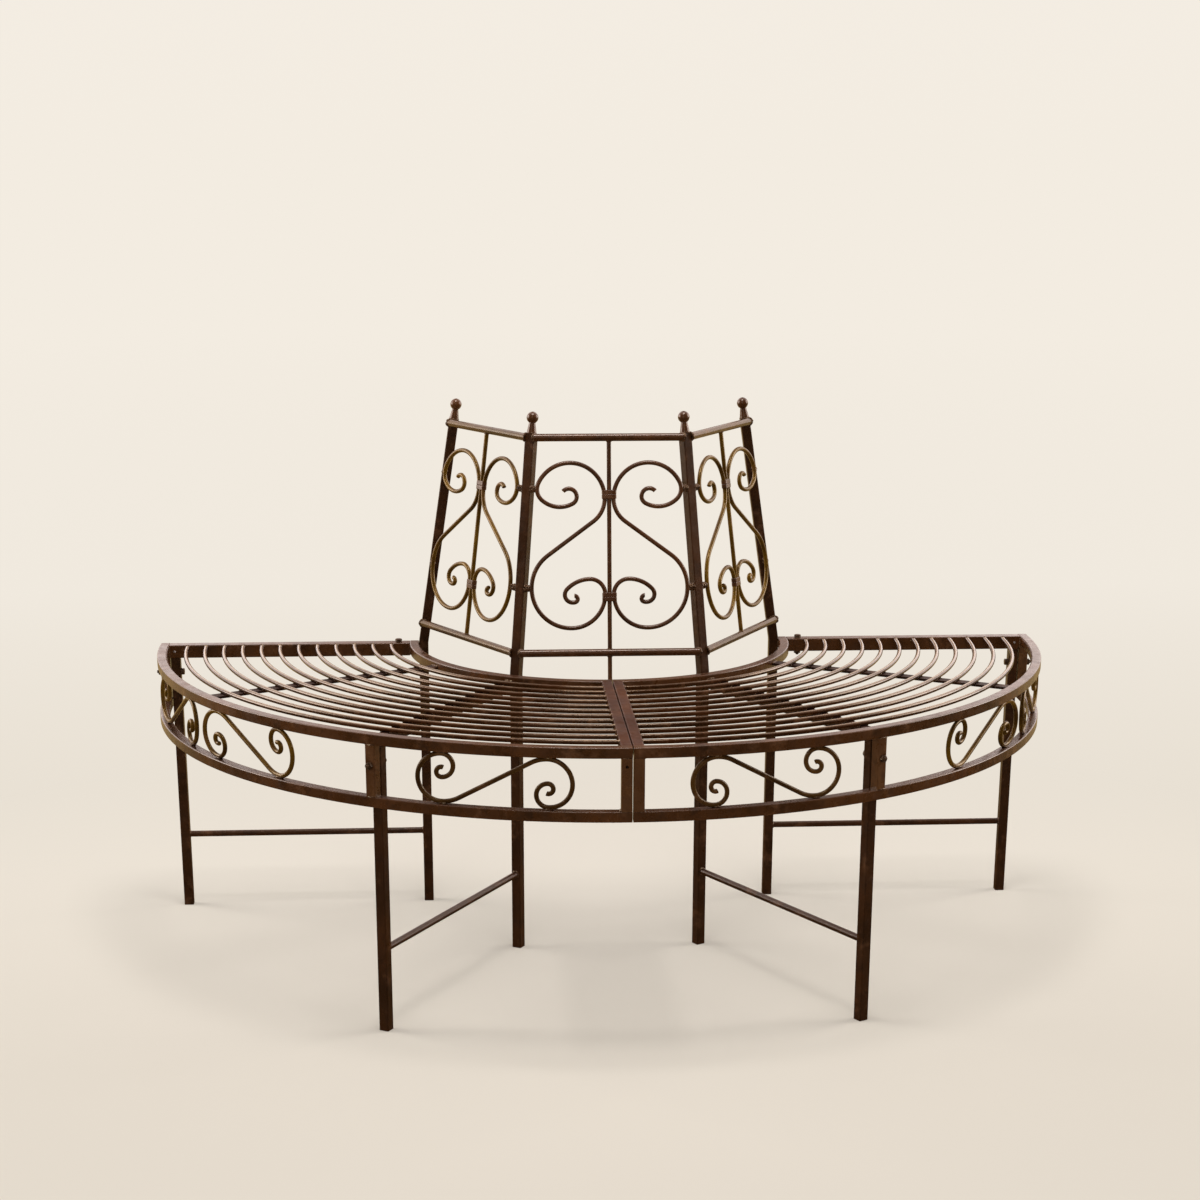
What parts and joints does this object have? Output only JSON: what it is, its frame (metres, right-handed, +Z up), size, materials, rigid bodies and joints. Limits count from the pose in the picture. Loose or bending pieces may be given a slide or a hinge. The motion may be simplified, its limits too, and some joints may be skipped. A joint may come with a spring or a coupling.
{
  "type": "tree bench",
  "caption": "Half-round metal bench that stands round a tree trunk, with a rod seat, a scrolled apron and a panelled back rest with ball finials.",
  "frame": {"origin": "centre of the bounding box's floor rectangle, between the feet", "axes": "+Z up, +X along the straight back side, which is the longest, and -Y towards the front, the middle of the half-round seat"},
  "size_m": [1.515, 0.762, 0.8751],
  "materials": {
    "frame": "satin dark bronze powder coat",
    "fasteners": "dark, slightly rusted bolts"
  },
  "bodies": {
    "root": {"back_bottom_rail_front": "frame", "back_bottom_rail_left": "frame", "back_bottom_rail_right": "frame", "back_centre_bar_front": "frame", "back_centre_bar_left": "frame", "back_centre_bar_right": "frame", "back_post_left_end": "frame", "back_post_left_front": "frame", "back_post_right_end": "frame", "back_post_right_front": "frame", "back_scroll_front_a": "frame", "back_scroll_front_b": "frame", "back_scroll_left_a": "frame", "back_scroll_left_b": "frame", "back_scroll_right_a": "frame", "back_scroll_right_b": "frame", "back_top_rail_front": "frame", "back_top_rail_left": "frame", "back_top_rail_right": "frame", "end_bar_bolts": "fasteners", "finials": "frame", "left_apron_posts": "frame", "left_apron_rail": "frame", "left_apron_scroll_end": "frame", "left_apron_scroll_front": "frame", "left_apron_scroll_middle": "frame", "left_end_bar": "frame", "left_inner_rim": "frame", "left_outer_rim": "frame", "left_rod_strap": "frame", "left_seam_bar": "frame", "left_seat_rods": "frame", "left_seat_support": "frame", "leg_bolts": "fasteners", "leg_nuts": "fasteners", "outer_leg_left_end": "frame", "outer_leg_left_front": "frame", "outer_leg_right_end": "frame", "outer_leg_right_front": "frame", "right_apron_posts": "frame", "right_apron_rail": "frame", "right_apron_scroll_end": "frame", "right_apron_scroll_front": "frame", "right_apron_scroll_middle": "frame", "right_end_bar": "frame", "right_inner_rim": "frame", "right_outer_rim": "frame", "right_rod_strap": "frame", "right_seam_bar": "frame", "right_seat_rods": "frame", "right_seat_support": "frame", "scroll_collars": "frame", "scroll_welds": "frame", "stretcher_left_end": "frame", "stretcher_left_front": "frame", "stretcher_right_end": "frame", "stretcher_right_front": "frame"}
  },
  "joints": []
}
